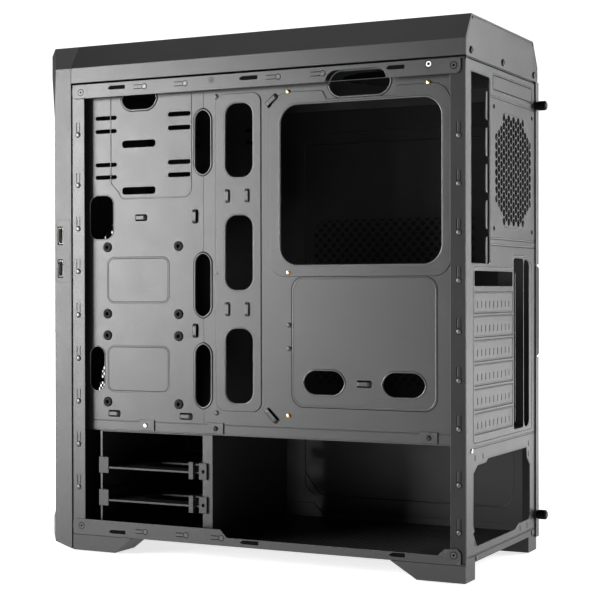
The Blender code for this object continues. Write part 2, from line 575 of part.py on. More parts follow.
CAGE_Y = (fy(244.8), fy(364.8))
CAGE_X = (fx(9.8), fx(157.0))
CAGE_Z = (Z_FLOOR + SHEET + GAP, Z_DIV - GAP)
BAY_PITCH = fz(30.3)
TRAY_Z = (fz(78.4), fz(78.4) - BAY_PITCH)
cage = node("drive_cage", block(CAGE_X[0], CAGE_Y[0], CAGE_Z[0], CAGE_X[1], CAGE_Y[1], CAGE_Z[1]), "steel")
cut(cage, block(CAGE_X[0] + 0.01, CAGE_Y[0] - SHEET, CAGE_Z[0] + SHEET, CAGE_X[1] - 0.01, CAGE_Y[1] + SHEET,
                CAGE_Z[1] - SHEET))
FLANGE_REAR, FLANGE_FRONT = 0.0102, 0.0022
RAIL = 0.002
tray_rear = CAGE_Y[0] - FLANGE_REAR - 2 * GAP
tray_front = CAGE_Y[1] + FLANGE_FRONT + 2 * GAP
ledges = []
for z in TRAY_Z:
    for y, tip in ((CAGE_Y[0] - SHEET / 2, tray_rear - 0.9 * RAIL), (CAGE_Y[1] + SHEET / 2, tray_front + 0.9 * RAIL)):
        ledges.append(block(CAGE_X[0] - 0.002, y, z - 0.0046, CAGE_X[1] + 0.002, tip, z - 0.0046 + SHEET))
        ledges.append(block(CAGE_X[0] - 0.002, y, z + 0.0094, CAGE_X[1] + 0.002, tip, z + 0.0094 + SHEET))
fuse(cage, *ledges)
fuse(cage,
     block(CAGE_X[0] + 0.0002, CAGE_Y[0], CAGE_Z[0], CAGE_X[0] - SHEET, CAGE_Y[0] - FLANGE_REAR, CAGE_Z[1]),
     block(CAGE_X[0] + 0.0002, CAGE_Y[1], CAGE_Z[0], CAGE_X[0] - SHEET, CAGE_Y[1] + FLANGE_FRONT, CAGE_Z[1]))
cut(cage, *[slab("Z", CAGE_Z[0] - 0.001, CAGE_Z[1] + 0.001,
                 [rounded(fx(30.0), fy(266.0), fx(140.0), fy(345.0), 0.008, 3)])])

for label, z in zip(("upper", "lower"), TRAY_Z):
    face = CAGE_X[0] + 0.0002 + GAP
    front_in = face + 0.0018
    caddy = node("hdd_tray_" + label,
                 block(front_in - 0.0005, tray_rear, z - 0.0009, fx(156.0), tray_front, z + 0.0009),
                 "plastic", origin=(0.0, (tray_rear + tray_front) / 2, z))
    lo, hi = z - 0.0036, z + 0.0090
    fuse(caddy,
         block(front_in - 0.0012, tray_rear, lo, fx(156.0), tray_rear - RAIL, hi),
         block(front_in - 0.0012, tray_front, lo, fx(156.0), tray_front + RAIL, hi))
    fuse(caddy,
         block(face, CAGE_Y[0] - 0.0050, z - 0.0060, front_in, tray_rear - 0.0022, z + 0.0088),
         block(face, tray_front + 0.0072, z - 0.0052, front_in, CAGE_Y[1] - 0.0004, z + 0.0098))
    fuse(caddy,
         block(face, tray_rear - 0.0066, z - 0.0058, front_in + 0.0028, tray_rear - 0.0112, z + 0.0098))
    cut(caddy,
        turned([(0, -0.004), (0.0016, -0.004), (0.0016, 0.006), (0, 0.006)],
               (face, CAGE_Y[0] - 0.0085, z + 0.0012), "X", 10),
        block(fx(28.0), fy(282.0), z - 0.003, fx(62.0), fy(330.0), z + 0.003),
        block(fx(76.0), fy(282.0), z - 0.003, fx(138.0), fy(330.0), z + 0.003))

bracket = node("bay_bracket",
               slab("X", fx(163.5), fx(163.5) - SHEET,
                    [box2(fy(266.0), fz(333.0), front_back + GAP, Z_CEIL - SHEET - GAP)]
                    + [rounded(fy(y - 11), fz(z - 2), fy(y + 11), fz(z + 2), 0.0017, 1)
                       for z in (402.8, 390.5, 359.4, 347.8) for y in (284.0, 356.0)]), "steel")
fuse(bracket,
     block(fx(163.5), front_back + GAP, fz(333.0), fx(163.5) - 0.010, front_back + GAP + SHEET, Z_CEIL - SHEET - GAP),
     block(fx(163.5), fy(266.0), Z_CEIL - SHEET - GAP, fx(163.5) - 0.010, front_back + GAP, Z_CEIL - 2 * SHEET - GAP))

# ---------------------------------------------------------------- expansion slot covers and their screws
for i, z in enumerate(slot_z):
    x0, x1 = SLOT_X[0] - GAP, SLOT_X[1] + GAP
    slits = [box2(x0 - 0.007 - s * 0.0102, z - 0.0044, x0 - 0.0082 - s * 0.0102, z + 0.0012) for s in range(9)]
    blank = node("slot_cover_%02d" % (i + 1),
                 slab("Y", Y_REAR - 0.0002, Y_REAR - 0.0002 - SHEET,
                      [box2(x0, z - COVER_HALF, x1, z + COVER_HALF)] + slits), "steel")
    ledge_x = fx(120.4) - SHEET - GAP
    fuse(blank,
         block(x1 + 0.0003 + SHEET, Y_REAR - 0.0006, z - COVER_HALF + 0.0005,
               x1 + 0.0003, Y_REAR - 0.0040, z + COVER_HALF - 0.0005))
    node("slot_screw_%02d" % (i + 1),
         turned([(0, 0.0009), (0.0030, 0.0009), (0.0032, 0.0004), (0.0032, -0.0012), (0.0026, -0.0020), (0, -0.0020)],
                (ledge_x - 0.0010, fy(7.0), z + 0.002), "X", 12), "zinc", smooth=True)

# ---------------------------------------------------------------- feet and pads
PAD = 0.0022
FOOT_TOP = Z_FLOOR - GAP
FOOT_LOW = fz(1.0)
feet = (("front_right", 0.3, 33.0, (389.4, 343.0, 324.0), (370.0, 17.0)),
        ("front_left", 157.4, 190.0, (389.4, 343.0, 324.0), (370.0, 173.3)),
        ("rear_right", 0.3, 23.6, (0.8, 44.0, 67.9), (20.0, 12.0)),
        ("rear_left", 166.6, 190.0, (0.8, 44.0, 67.9), (20.0, 178.3)))
for label, x0, x1, (end, toe, heel), (pad_y, pad_x) in feet:
    side = [(fy(end), FOOT_TOP), (fy(end), FOOT_LOW), (fy(toe), FOOT_LOW), (fy(heel), FOOT_TOP)]
    foot = node("foot_" + label, slab("X", fx(x0), fx(x1), [side]), "plastic")
    cut(foot, turned([(0, 0), (0.0072, 0), (0.0072, PAD), (0, PAD)],
                     (fx(pad_x), fy(pad_y), FOOT_LOW - 0.001), "Z", 16))
    node("foot_pad_" + label,
         turned([(0, 0), (0.0064, 0), (0.0069, 0.0005), (0.0069, FOOT_LOW - 0.001 + PAD - GAP),
                 (0, FOOT_LOW - 0.001 + PAD - GAP)], (fx(pad_x), fy(pad_y), 0.0), "Z", 16), "rubber", smooth=True)

# ---------------------------------------------------------------- drive grommets and board standoffs
for i, (y, z) in enumerate(GROMMET_AT):
    w, f, hole = GROMMET_WAIST, 0.0046, 0.0017
    a, b = GAP, SHEET + GAP
    node("ssd_grommet_%02d" % (i + 1),
         turned([(hole, a + 0.0008), (f - 0.0004, a + 0.0008), (f, a + 0.0003), (f, a), (w, a), (w, -b), (f, -b),
                 (f, -b - 0.0008), (hole, -b - 0.0008)], (X_TRAY, fy(y), fz(z)), "X", 12), "rubber", smooth=True)
for i, (y, z) in enumerate(STANDOFF_AT):
    back_face = X_TRAY - SHEET - GAP
    stand = node("standoff_%02d" % (i + 1),
                 slab("X", back_face, back_face - 0.0065, [circle(fy(y), fz(z), 0.0031, 6)]), "brass")
    fuse(stand, turned([(0, 0), (STUD_R, 0), (STUD_R, SHEET + GAP + 0.0024), (0, SHEET + GAP + 0.0028)],
                       (back_face - 0.001, fy(y), fz(z)), "X", 8))
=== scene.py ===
import math

import bmesh
import bpy
from mathutils import Matrix, Vector


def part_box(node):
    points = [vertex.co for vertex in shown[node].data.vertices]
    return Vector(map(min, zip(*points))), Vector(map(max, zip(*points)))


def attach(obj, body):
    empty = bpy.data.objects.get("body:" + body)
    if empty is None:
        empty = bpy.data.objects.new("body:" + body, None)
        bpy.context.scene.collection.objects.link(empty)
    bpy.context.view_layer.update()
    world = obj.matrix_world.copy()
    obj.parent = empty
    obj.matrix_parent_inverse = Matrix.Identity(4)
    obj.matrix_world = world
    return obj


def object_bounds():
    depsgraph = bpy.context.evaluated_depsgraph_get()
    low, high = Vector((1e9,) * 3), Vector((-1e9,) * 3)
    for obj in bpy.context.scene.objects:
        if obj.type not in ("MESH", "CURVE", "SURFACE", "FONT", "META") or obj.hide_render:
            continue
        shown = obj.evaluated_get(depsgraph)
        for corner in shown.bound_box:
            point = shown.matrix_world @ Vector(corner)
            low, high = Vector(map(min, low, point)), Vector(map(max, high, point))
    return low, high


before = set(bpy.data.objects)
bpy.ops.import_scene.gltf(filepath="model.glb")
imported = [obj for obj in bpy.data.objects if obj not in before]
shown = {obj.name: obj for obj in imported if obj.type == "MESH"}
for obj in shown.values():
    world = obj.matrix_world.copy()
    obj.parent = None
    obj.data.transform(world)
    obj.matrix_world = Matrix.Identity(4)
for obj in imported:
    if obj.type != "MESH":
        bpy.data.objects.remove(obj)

# ------------------------------------------------------------------ room and light
# A pale studio floor under a bright even surround. Wide soft lamps stand to the front left and behind the
# rear sheet, so that satin black paint shows long gentle gradients.
cad_low, cad_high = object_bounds()


def node_tree(owner):
    owner.use_nodes = True
    owner.node_tree.nodes.clear()
    return owner.node_tree


def add(tree, kind, **settings):
    """A shader node; settings name its properties, or its inputs where the name is an input's."""
    made = tree.nodes.new(kind)
    for name, value in settings.items():
        socket = made.inputs.get(name.replace("_", " ").title()) if not hasattr(made, name) else None
        if socket is not None:
            socket.default_value = value
        else:
            setattr(made, name, value)
    return made


FLOOR_HALF, FLOOR_GAP = 6.0, 0.0002
floor_mesh = bmesh.new()
bmesh.ops.create_grid(floor_mesh, x_segments=8, y_segments=8, size=FLOOR_HALF)
floor_data = bpy.data.meshes.new("studio_floor")
floor_mesh.to_mesh(floor_data)
floor_mesh.free()
studio_floor = bpy.data.objects.new("studio_floor", floor_data)
bpy.context.scene.collection.objects.link(studio_floor)
studio_floor.location.z = cad_low.z - FLOOR_GAP
paper = bpy.data.materials.new("floor_paper")
tree = node_tree(paper)
out = add(tree, "ShaderNodeOutputMaterial")
skin = add(tree, "ShaderNodeBsdfPrincipled", base_color=(0.9, 0.9, 0.9, 1.0), roughness=0.8)
skin.inputs["Emission Strength"].default_value = 1.0
away = add(tree, "ShaderNodeVectorMath", operation="LENGTH")
tree.links.new(add(tree, "ShaderNodeTexCoord").outputs["Object"], away.inputs[0])
sweep = add(tree, "ShaderNodeMapRange", from_min=0.3, from_max=1.5, to_min=0.62, to_max=1.2)
tree.links.new(away.outputs["Value"], sweep.inputs["Value"])
glow = add(tree, "ShaderNodeCombineColor")
for channel in ("Red", "Green", "Blue"):
    tree.links.new(sweep.outputs["Result"], glow.inputs[channel])
tree.links.new(glow.outputs[0], skin.inputs["Emission Color"])
tree.links.new(skin.outputs[0], out.inputs[0])
floor_data.materials.append(paper)

WHITE = (1.0, 1.0, 1.0, 1.0)
world = bpy.data.worlds.new("studio")
bpy.context.scene.world = world
tree = node_tree(world)
surround = add(tree, "ShaderNodeBackground", strength=0.13)
backdrop = add(tree, "ShaderNodeBackground", strength=1.0)
for glow in (surround, backdrop):
    glow.inputs["Color"].default_value = WHITE
seen = add(tree, "ShaderNodeMixShader")
tree.links.new(add(tree, "ShaderNodeLightPath").outputs["Is Camera Ray"], seen.inputs[0])
tree.links.new(surround.outputs[0], seen.inputs[1])
tree.links.new(backdrop.outputs[0], seen.inputs[2])
tree.links.new(seen.outputs[0], add(tree, "ShaderNodeOutputWorld").inputs[0])
bpy.context.scene.view_settings.view_transform = "Standard"
bpy.context.scene.view_settings.look = "Medium High Contrast"


def softbox(name, place, aim, width, height, watts):
    lamp = bpy.data.lights.new(name, "AREA")
    lamp.shape = "RECTANGLE"
    lamp.size, lamp.size_y, lamp.energy = width, height, watts
    holder = bpy.data.objects.new(name, lamp)
    bpy.context.scene.collection.objects.link(holder)
    holder.location = place
    holder.rotation_euler = (Vector(aim) - Vector(place)).to_track_quat("-Z", "Y").to_euler()
    return holder


softbox("lamp_front_left", (1.80, -1.75, 0.45), (0.0, 0.0, 0.25), 1.2, 1.4, 92.0)
softbox("lamp_behind", (-1.7, 1.9, 0.6), (0.0, 0.2, 0.25), 1.2, 1.4, 56.0)
softbox("lamp_over", (0.3, -0.6, 2.3), (0.0, 0.0, 0.25), 1.4, 1.4, 5.0)

camera_data = bpy.data.cameras.new("view")
camera_data.sensor_width = 36.0
camera_data.lens = 91.63
STAND = (1.27925, 0.64115, 0.2431)
camera = bpy.data.objects.new("view", camera_data)
bpy.context.scene.collection.objects.link(camera)
YAW, PITCH, ROLL = math.radians(26.436), math.radians(-0.379), math.radians(-0.099)
ahead = Vector((-math.cos(YAW) * math.cos(PITCH), -math.sin(YAW) * math.cos(PITCH), math.sin(PITCH)))
level_right = ahead.cross(Vector((0.0, 0.0, 1.0))).normalized()
level_up = level_right.cross(ahead)
right = math.cos(ROLL) * level_right + math.sin(ROLL) * level_up
up = math.cos(ROLL) * level_up - math.sin(ROLL) * level_right
turn = Matrix((right, up, -ahead)).transposed().to_4x4()
camera.matrix_world = Matrix.Translation(STAND) @ turn
bpy.context.scene.camera = camera

# ------------------------------------------------------------------ powder-coated steel
# Every pressed sheet is cold-rolled steel with a satin black powder coat: a fine orange-peel grain, a faint
# mottle, and a paler line along every edge, partly rubbed wear where the coat is thin and partly a painted highlight.


def group_tree(name, inputs, outputs):
    """A new shader group with its ends; inputs are (name, kind, default), outputs (name, kind)."""
    group = bpy.data.node_groups.new(name, "ShaderNodeTree")
    for title, kind, default in inputs:
        made = group.interface.new_socket(title, in_out="INPUT", socket_type="NodeSocket" + kind)
        made.default_value = default
    for title, kind in outputs:
        group.interface.new_socket(title, in_out="OUTPUT", socket_type="NodeSocket" + kind)
    return group, group.nodes.new("NodeGroupInput"), group.nodes.new("NodeGroupOutput")


def calc(tree, operation, first, second=None, third=None):
    """One Math node fed by sockets or plain numbers."""
    made = tree.nodes.new("ShaderNodeMath")
    made.operation = operation
    for slot, value in zip(made.inputs, (first, second, third)):
        if value is None:
            continue
        if isinstance(value, (int, float)):
            slot.default_value = value
        else:
            tree.links.new(value, slot)
    return made.outputs[0]


def noise(tree, where, scale, detail=2.0, rough=0.5):
    made = tree.nodes.new("ShaderNodeTexNoise")
    tree.links.new(where, made.inputs["Vector"])
    if isinstance(scale, (int, float)):
        made.inputs["Scale"].default_value = scale
    else:
        tree.links.new(scale, made.inputs["Scale"])
    made.inputs["Detail"].default_value = detail
    made.inputs["Roughness"].default_value = rough
    return made.outputs["Fac"]


def blend_colour(tree, amount, first, second):
    made = tree.nodes.new("ShaderNodeMix")
    made.data_type = "RGBA"
    tree.links.new(amount, made.inputs["Factor"])
    for slot, value in ((made.inputs[6], first), (made.inputs[7], second)):
        if isinstance(value, tuple):
            slot.default_value = value
        else:
            tree.links.new(value, slot)
    return made.outputs[2]


coat, ins, outs = group_tree(
    "coated_surface",
    [("Colour", "Color", (0.02, 0.02, 0.02, 1)), ("Wear And Highlight Colour", "Color", (0.09, 0.09, 0.09, 1)),
     ("Grain Scale", "Float", 900.0), ("Roughness", "Float", 0.42), ("Wear And Highlight", "Float", 0.6),
     ("Edge Width", "Float", 0.0006)],
    [("Colour", "Color"), ("Roughness", "Float"), ("Grain", "Float"), ("Rounded", "Vector")])
spot = coat.nodes.new("ShaderNodeTexCoord").outputs["Object"]
grain = noise(coat, spot, ins.outputs["Grain Scale"], 3.0, 0.6)
mottle = noise(coat, spot, 9.0, 3.0, 0.55)
haze = noise(coat, spot, 46.0, 3.0, 0.6)
rounding = coat.nodes.new("ShaderNodeBevel")
rounding.samples = 4
coat.links.new(ins.outputs["Edge Width"], rounding.inputs["Radius"])
facing = coat.nodes.new("ShaderNodeVectorMath")
facing.operation = "DOT_PRODUCT"
coat.links.new(rounding.outputs[0], facing.inputs[0])
coat.links.new(coat.nodes.new("ShaderNodeNewGeometry").outputs["Normal"], facing.inputs[1])
edge = calc(coat, "SUBTRACT", 1.0, facing.outputs["Value"])
edge = calc(coat, "MULTIPLY", edge, 4.0)
edge = calc(coat, "MINIMUM", edge, 1.0)
patchy = calc(coat, "MULTIPLY_ADD", haze, 1.4, -0.2)
# Edges are lightened in patches: partly rubbed wear, partly a painted highlight.
edge_wear_and_highlight = calc(coat, "MULTIPLY", calc(coat, "MULTIPLY", edge, ins.outputs["Wear And Highlight"]), patchy)
shade = coat.nodes.new("ShaderNodeMix")
shade.data_type = "RGBA"
shade.blend_type = "MULTIPLY"
shade.inputs["Factor"].default_value = 1.0
coat.links.new(ins.outputs["Colour"], shade.inputs[6])
tone = coat.nodes.new("ShaderNodeCombineColor")
level = calc(coat, "MULTIPLY_ADD", mottle, 0.5, 0.75)
level = calc(coat, "MULTIPLY", level, calc(coat, "MULTIPLY_ADD", grain, 0.5, 0.75))
for channel in tone.inputs:
    if channel.name in ("Red", "Green", "Blue"):
        coat.links.new(level, channel)
coat.links.new(tone.outputs[0], shade.inputs[7])
coat.links.new(blend_colour(coat, edge_wear_and_highlight, shade.outputs[2], ins.outputs["Wear And Highlight Colour"]), outs.inputs["Colour"])
polish = calc(coat, "MULTIPLY_ADD", haze, 0.12, -0.06)
polish = calc(coat, "ADD", polish, ins.outputs["Roughness"])
polish = calc(coat, "MULTIPLY_ADD", edge, -0.06, polish)
coat.links.new(calc(coat, "MULTIPLY_ADD", grain, 0.08, calc(coat, "SUBTRACT", polish, 0.04)), outs.inputs["Roughness"])
coat.links.new(grain, outs.inputs["Grain"])
coat.links.new(rounding.outputs[0], outs.inputs["Rounded"])


def coated(name, colour, wear_and_highlight_colour, grain_scale, roughness, wear_and_highlight, edge_width, relief, specular=0.5,
           metallic=0.0):
    """A finished material built on the coated surface group."""
    made = bpy.data.materials.new(name)
    tree = node_tree(made)
    skin = tree.nodes.new("ShaderNodeBsdfPrincipled")
    skin.inputs["Metallic"].default_value = metallic
    skin.inputs["Specular IOR Level"].default_value = specular
    surface = tree.nodes.new("ShaderNodeGroup")
    surface.node_tree = coat
    for title, value in (("Colour", colour), ("Wear And Highlight Colour", wear_and_highlight_colour)):
        surface.inputs[title].default_value = (*value, 1.0)
    for title, value in (("Grain Scale", grain_scale), ("Roughness", roughness), ("Wear And Highlight", wear_and_highlight),
                         ("Edge Width", edge_width)):
        surface.inputs[title].default_value = value
    bump = tree.nodes.new("ShaderNodeBump")
    bump.inputs["Strength"].default_value = relief
    bump.inputs["Distance"].default_value = 0.0004
    tree.links.new(surface.outputs["Grain"], bump.inputs["Height"])
    tree.links.new(surface.outputs["Rounded"], bump.inputs["Normal"])
    tree.links.new(surface.outputs["Colour"], skin.inputs["Base Color"])
    tree.links.new(surface.outputs["Roughness"], skin.inputs["Roughness"])
    tree.links.new(bump.outputs[0], skin.inputs["Normal"])
    tree.links.new(skin.outputs[0], tree.nodes.new("ShaderNodeOutputMaterial").inputs[0])
    return made


chassis_steel = coated("chassis_steel", (0.022, 0.022, 0.023), (0.12, 0.12, 0.12), 1100.0, 0.33, 0.5, 0.0006, 0.30)
# A paler, glossier copy of the chassis coat for rims, creases, lips and edges: a painted highlight.
painted_highlight_steel = coated("painted_highlight_steel", (0.055, 0.055, 0.056), (0.3, 0.3, 0.3), 1100.0, 0.24, 0.9, 0.0005, 0.2, 0.6)


def finish(name, material):
    """Puts a finish on a solid that keeps its own shape."""
    piece = shown[name]
    piece.data.materials.clear()
    piece.data.materials.append(material)


for name in ("motherboard_tray", "front_frame", "psu_shroud", "drive_cage", "bay_bracket",
             "top_panel", "top_rear_plate"):
    finish(name, chassis_steel)


def paint_shade_inside(material, colour, above=0.0):
    """Paints shade on faces turned towards the open side, from one height up: a darker colour and a duller coat."""
    tree = material.node_tree
    shader = next(n for n in tree.nodes if n.type == "BSDF_PRINCIPLED")
    normal = add(tree, "ShaderNodeNewGeometry")
    axes = add(tree, "ShaderNodeSeparateXYZ")
    tree.links.new(normal.outputs["Normal"], axes.inputs[0])
    height = add(tree, "ShaderNodeSeparateXYZ")
    tree.links.new(normal.outputs["Position"], height.inputs[0])
    high = add(tree, "ShaderNodeMapRange", from_min=above - 0.01, from_max=above + 0.01)
    tree.links.new(height.outputs["Z"], high.inputs["Value"])
    painted_shade_mask = calc(tree, "MULTIPLY", calc(tree, "GREATER_THAN", axes.outputs["X"], 0.8), high.outputs["Result"])
    painted = shader.inputs["Base Color"].links[0].from_socket
    tree.links.new(blend_colour(tree, painted_shade_mask, painted, colour), shader.inputs["Base Color"])
    gloss = shader.inputs["Roughness"].links[0].from_socket
    tree.links.new(calc(tree, "MULTIPLY_ADD", painted_shade_mask, 0.35, gloss), shader.inputs["Roughness"])
    return material


# The rear sheet's coat, with painted shade on its faces towards the open side.
rear_steel_shaded_inside = paint_shade_inside(coated("rear_sheet_steel_painted_shade", (0.022, 0.022, 0.023), (0.12, 0.12, 0.12), 1100.0, 0.33, 0.5,
                                0.0006, 0.30), (0.004, 0.004, 0.004, 1.0))
finish("rear_panel", rear_steel_shaded_inside)

# ------------------------------------------------------------------ places on the case
# Pressings and fasteners are set out from the two datum faces of the case: the open side and the rear sheet.
# All sizes are in millimetres, forward of the rear sheet, in from the open side and up from the desk.
MM = 0.001
open_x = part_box("front_bezel")[1].x
rear_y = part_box("rear_panel")[1].y


def side_face(inward):
    """A face towards the open side; the first axis runs to the rear, the second up."""
    return Matrix(((0, 0, 1, open_x - inward * MM), (1, 0, 0, rear_y), (0, 1, 0, 0), (0, 0, 0, 1)))


def rear_face(behind):
    """A face towards the back; the first axis runs inward, the second up."""
    return Matrix(((-1, 0, 0, open_x), (0, 0, 1, rear_y + behind * MM), (0, 1, 0, 0), (0, 0, 0, 1)))


def level_face(height):
    """A face looking up; the first axis runs to the open side, the second to the rear."""
    return Matrix(((1, 0, 0, open_x), (0, 1, 0, rear_y), (0, 0, 1, height * MM), (0, 0, 0, 1)))


def fasten(piece, material, body="chassis"):
    """Gives a piece its finish and fixes it to its part of the case."""
    if not piece.data.materials:
        piece.data.materials.append(material)
    if piece.name not in bpy.context.scene.collection.objects:
        bpy.context.scene.collection.objects.link(piece)
    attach(piece, body)
    return piece


def outline(corners, radius=0.0, steps=4):
    """A closed outline in metres from corners in mm; every corner is rounded."""
    points = []
    count = len(corners)
    for i, corner in enumerate(corners):
        here = Vector(corner[:2]) * MM
        r = (corner[2] if len(corner) > 2 else radius) * MM
        before = Vector(corners[i - 1][:2]) * MM - here
        after = Vector(corners[(i + 1) % count][:2]) * MM - here
        if r < 1e-6:
            points.append(here)
            continue
        half = before.angle(after) / 2
        back = min(r / math.tan(half), before.length * 0.49, after.length * 0.49)
        start, end = here + before.normalized() * back, here + after.normalized() * back
        for k in range(steps + 1):
            t = k / steps
            points.append((1 - t) ** 2 * start + 2 * t * (1 - t) * (here * 0.62 + (start + end) * 0.19)
                          + t * t * end)
    return points


def oblong(u0, v0, u1, v1, radius, steps=4):
    return outline([(u0, v0), (u1, v0), (u1, v1), (u0, v1)], radius, steps)


def round_hole(u, v, radius, steps=20):
    return [Vector((u + radius * math.cos(2 * math.pi * k / steps), v + radius * math.sin(2 * math.pi * k / steps)))
            * MM for k in range(steps)]


def pressed_field(name, face, outlines, rise, slope, material, sunk=0.3, **fixing):
    """A raised field of sheet with soft shoulders; further outlines are holes in it."""
    curve = bpy.data.curves.new(name, "CURVE")
    curve.dimensions = "2D"
    curve.fill_mode = "BOTH"
    curve.extrude = (rise + sunk) / 2 * MM
    if slope:
        curve.bevel_depth = slope * MM
        curve.bevel_resolution = 2
        curve.extrude = max(0.0, (rise + sunk) / 2 - slope) * MM
    for points in outlines:
        spline = curve.splines.new("POLY")
        spline.points.add(len(points) - 1)
        for made, p in zip(spline.points, points):
            made.co = (p.x, p.y, 0.0, 1.0)
        spline.use_cyclic_u = True
    piece = bpy.data.objects.new(name, curve)
    piece.matrix_world = face @ Matrix.Translation((0, 0, (rise - sunk) / 2 * MM))
    return fasten(piece, material, **fixing)


def line(*ends):
    """A line in metres through points in mm."""
    return [Vector(end) * MM for end in ends]


def bead(name, face, lines, radius, material, depth=0.0, closed=True, **fixing):
    """A rolled bead or folded lip that follows lines on a face; thin beads also draw lines of painted shade and
    painted highlight.
    """
    curve = bpy.data.curves.new(name, "CURVE")
    curve.dimensions = "3D"
    curve.bevel_depth = radius * MM
    curve.bevel_resolution = 3
    curve.use_fill_caps = True
    for points in lines:
        spline = curve.splines.new("POLY")
        spline.points.add(len(points) - 1)
        for made, p in zip(spline.points, points):
            made.co = (p[0], p[1], p[2] if len(p) > 2 else 0.0, 1.0)
        spline.use_cyclic_u = closed
    piece = bpy.data.objects.new(name, curve)
    piece.matrix_world = face @ Matrix.Translation((0, 0, -depth * MM))
    return fasten(piece, material, **fixing)


def mesh_data(name, built):
    """The finished mesh of a shape, its faces turned outwards."""
    data = bpy.data.meshes.new(name)
    bmesh.ops.recalc_face_normals(built, faces=built.faces)
    built.to_mesh(data)
    built.free()
    return data


# ------------------------------------------------------------------ motherboard tray
# One large pressed sheet spot-welded between the rails. Cable holes have rolled rims, the drive and board areas
# are raised fields, and lanced loops take cable ties.
TRAY_IN = 8.5
tray_face = side_face(TRAY_IN)
# A near-black coat that hardly reflects, for the cuts, slots, gaps and roots of pressings: painted shade.
painted_shadow_coat = coated("cut_edge_shadow", (0.004, 0.004, 0.004), (0.01, 0.01, 0.01), 900.0, 0.7, 0.1, 0.0002, 0.1, 0.05)

cable_holes = [(-230.2, z0, -202.7, z1, 9.0) for z0, z1 in ((343.5, 409.0), (243.2, 309.5), (142.3, 208.7))]
narrow_holes = [(-261.4, z0, -245.6, z1, 7.8) for z0, z1 in ((347.3, 404.8), (219.5, 275.9), (137.7, 194.2))]
notches = [(-374.8, 290.6, -349.4, 330.7, 7.0), (-374.8, 149.7, -359.3, 190.6, 6.5)]
ovals = [(-152.6, 152.4, -113.8, 173.1, 9.9), (-78.0, 152.1, -39.2, 172.8, 9.9)]
cooler_hole = (-175.3, 265.0, -24.4, 404.5, 14.0)
roof_holes = [(-339.2, 409.4, -302.7, 428.0, 9.0), (-127.8, 409.4, -70.8, 430.6, 10.0)]


def grown(hole, by):
    u0, v0, u1, v1, r = hole
    return oblong(u0 - by, v0 - by, u1 + by, v1 + by, r + by, 6)


# Rims, field edges and drive outlines take the paler coat: painted highlights.
bead("tray_rolled_rims", tray_face,
     [grown(hole, 0.7) for hole in cable_holes + narrow_holes + ovals + roof_holes], 0.95, painted_highlight_steel, depth=0.25)
bead("tray_notch_rims", tray_face, [grown(hole, 0.4) for hole in notches], 0.6, painted_highlight_steel, depth=0.2)
bead("tray_cooler_rim", tray_face, [grown(cooler_hole, 0.8)], 1.1, painted_highlight_steel, depth=0.3)
bead("tray_cable_channel_edge", tray_face,
     [outline([(-240.2, 136.0), (-195.2, 136.0), (-195.2, 417.0), (-240.2, 417.0)], 7.0, 5)], 0.55, chassis_steel,
     depth=0.2)

channel = [outline([(-239.7, 135.5), (-194.7, 135.5), (-194.7, 417.3), (-239.7, 417.3)], 7.0, 5)]
channel += [grown(hole, 1.2) for hole in cable_holes]
pressed_field("tray_cable_channel", tray_face, channel, 0.75, 0.45, chassis_steel)
roof_hole_low = roof_holes[1][1] - 2.0
cooler_field = [outline([(-185.5, 255.0), (-16.5, 255.0), (-16.5, 404.0), (-24.0, 415.5), (-64.0, 415.5, 2.0),
                         (-68.0, roof_hole_low, 2.0), (-130.5, roof_hole_low, 2.0), (-134.5, 415.5, 2.0),
                         (-175.0, 415.5), (-185.5, 404.0)], 12.0, 5), grown(cooler_hole, 1.4)]
pressed_field("tray_cooler_field", tray_face, cooler_field, 0.55, 0.4, chassis_steel)
# Dark lines round the roots of rims, fields and drive outlines: painted shade.
bead("tray_rim_roots", tray_face, [grown(hole, 1.9) for hole in narrow_holes + roof_holes] + cooler_field[:1], 0.45,
     painted_shadow_coat, depth=0.32)
lower_field = [outline([(-163.0, 142.4), (-29.7, 142.4), (-29.7, 253.0), (-163.0, 253.0)], 9.0, 5)]
lower_field += [grown(hole, 1.4) for hole in ovals]
bead("tray_lower_field_edge", tray_face, lower_field[:1], 0.75, painted_highlight_steel, depth=0.4)
bead("tray_lower_field_root", tray_face, [oblong(-164.6, 140.8, -28.1, 254.6, 10.0, 5)], 0.5, painted_shadow_coat, depth=0.38)
bead("tray_drive_outlines", tray_face,
     [outline([(-356.0, z0), (-289.0, z0), (-289.0, z1), (-356.0, z1)], 6.0, 5)
      for z0, z1 in ((231.0, 273.6), (149.0, 192.0))], 0.6, painted_highlight_steel, depth=0.3)
bead("tray_drive_roots", tray_face,
     [oblong(-354.6, z0, -290.4, z1, 5.0, 5) for z0, z1 in ((232.4, 272.2), (150.4, 190.6))], 0.45, painted_shadow_coat,
     depth=0.35)
bay_field = outline([(-352.0, 433.0, 0), (-352.0, 342.0), (-343.0, 333.0), (-341.0, 327.5), (-270.0, 327.5),
                     (-265.6, 333.0), (-265.6, 433.0, 0)], 5.0, 4)
bead("tray_bay_field_edge", tray_face, [bay_field], 0.7, painted_highlight_steel, depth=0.3, closed=False)
crease_ends = [122.0] + [end for hole in reversed(narrow_holes) for end in (hole[1] - 2.5, hole[3] + 2.5)] + [430.0]
bead("tray_upright_crease", tray_face,
     [line((-253.0, low), (-253.0, high)) for low, high in zip(crease_ends[::2], crease_ends[1::2])], 0.35,
     chassis_steel, depth=0.2, closed=False)
bead("tray_lower_fold", tray_face, [line((-376.0, 122.3), (-15.0, 122.3))], 0.6, chassis_steel, depth=0.3,
     closed=False)


